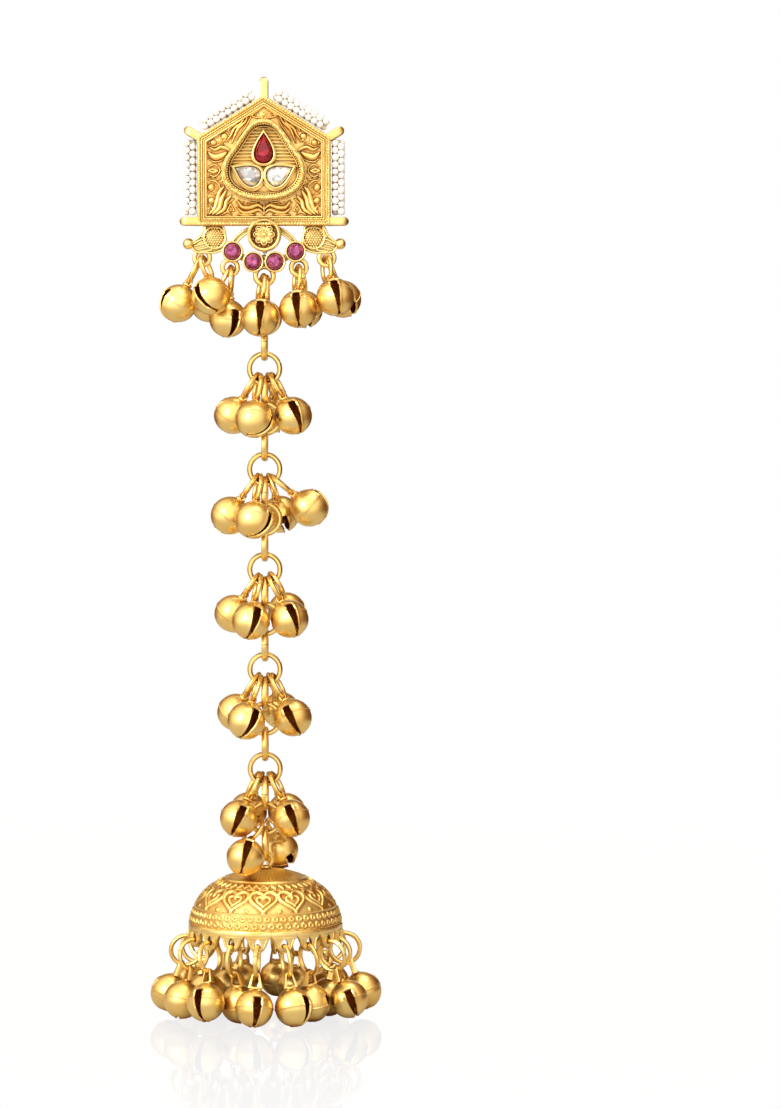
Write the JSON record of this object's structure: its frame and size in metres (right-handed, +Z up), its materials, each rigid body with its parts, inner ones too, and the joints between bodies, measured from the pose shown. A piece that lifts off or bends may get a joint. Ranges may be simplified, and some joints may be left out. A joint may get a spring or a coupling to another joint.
{
  "type": "jhumka earring",
  "caption": "Long drop earring: a stone-set pediment head on an ear post, a ring chain with clusters of small slotted bells, and a domed bell cup fringed with bells.",
  "frame": {"origin": "the ear post's axis where it leaves the back face of the head plate", "axes": "+X to the right seen from the front, +Y along the post towards the ear, +Z up"},
  "size_m": [0.0377, 0.0366, 0.1556],
  "materials": {
    "gold": "antique gold plating, satin, dark in the recesses",
    "steel_post": "polished",
    "clear_stone": "faceted, foil-backed",
    "red_stone": "faceted, foil-backed",
    "pink_stone": "faceted, foil-backed",
    "pearl": "imitation seed pearl, soft lustre",
    "clear_plastic": "clear moulded disc"
  },
  "bodies": {
    "head": {"head_plate": "gold", "pear_stone_red": "red_stone", "pear_stone_left": "clear_stone", "pear_stone_right": "clear_stone", "pink_stone_1": "pink_stone", "pink_stone_2": "pink_stone", "pink_stone_3": "pink_stone", "pink_stone_4": "pink_stone", "pearl_string_1": "pearl", "pearl_string_2": "pearl", "pearl_string_3": "pearl", "pearl_string_4": "pearl", "ear_post": "steel_post", "chain_1": "gold", "chain_2": "gold", "chain_3": "gold", "chain_4": "gold", "chain_5": "gold", "head_bell_outer_left": "gold", "head_bell_front_left": "gold", "head_bell_back_left": "gold", "head_bell_inner_left": "gold", "head_bell_centre": "gold", "head_bell_inner_right": "gold", "head_bell_back_right": "gold", "head_bell_front_right": "gold", "head_bell_outer_right": "gold", "chain_bell_1_left": "gold", "chain_bell_1_front": "gold", "chain_bell_1_back": "gold", "chain_bell_1_right": "gold", "chain_bell_2_left": "gold", "chain_bell_2_front": "gold", "chain_bell_2_back": "gold", "chain_bell_2_right": "gold", "chain_bell_3_left": "gold", "chain_bell_3_front": "gold", "chain_bell_3_back": "gold", "chain_bell_3_right": "gold", "chain_bell_4_left": "gold", "chain_bell_4_front": "gold", "chain_bell_4_back": "gold", "chain_bell_4_right": "gold"},
    "clutch": {"clutch_disc": "clear_plastic", "clutch_barrel": "gold"},
    "drop": {"chain_drop": "gold", "chain_bell_5_left": "gold", "chain_bell_5_back_left": "gold", "chain_bell_5_back_right": "gold", "chain_bell_5_right": "gold", "chain_bell_5_low_front": "gold", "chain_bell_5_low_back": "gold", "jhumka_dome": "gold", "rim_bells_1": "gold", "rim_bells_2": "gold", "rim_bells_3": "gold", "rim_bells_4": "gold", "rim_bells_5": "gold", "rim_bells_6": "gold"}
  },
  "joints": [
    {"name": "clutch_slide", "type": "slide", "parent": "head", "child": "clutch", "axis": [0, 1, 0], "range_m": [-0.0011, 0.0126]},
    {"name": "drop_swing", "type": "hinge", "parent": "head", "child": "drop", "pos_m": [0, -0.0018, -0.10781], "axis": [1, 0, 0], "range_deg": [-25, 25]}
  ]
}
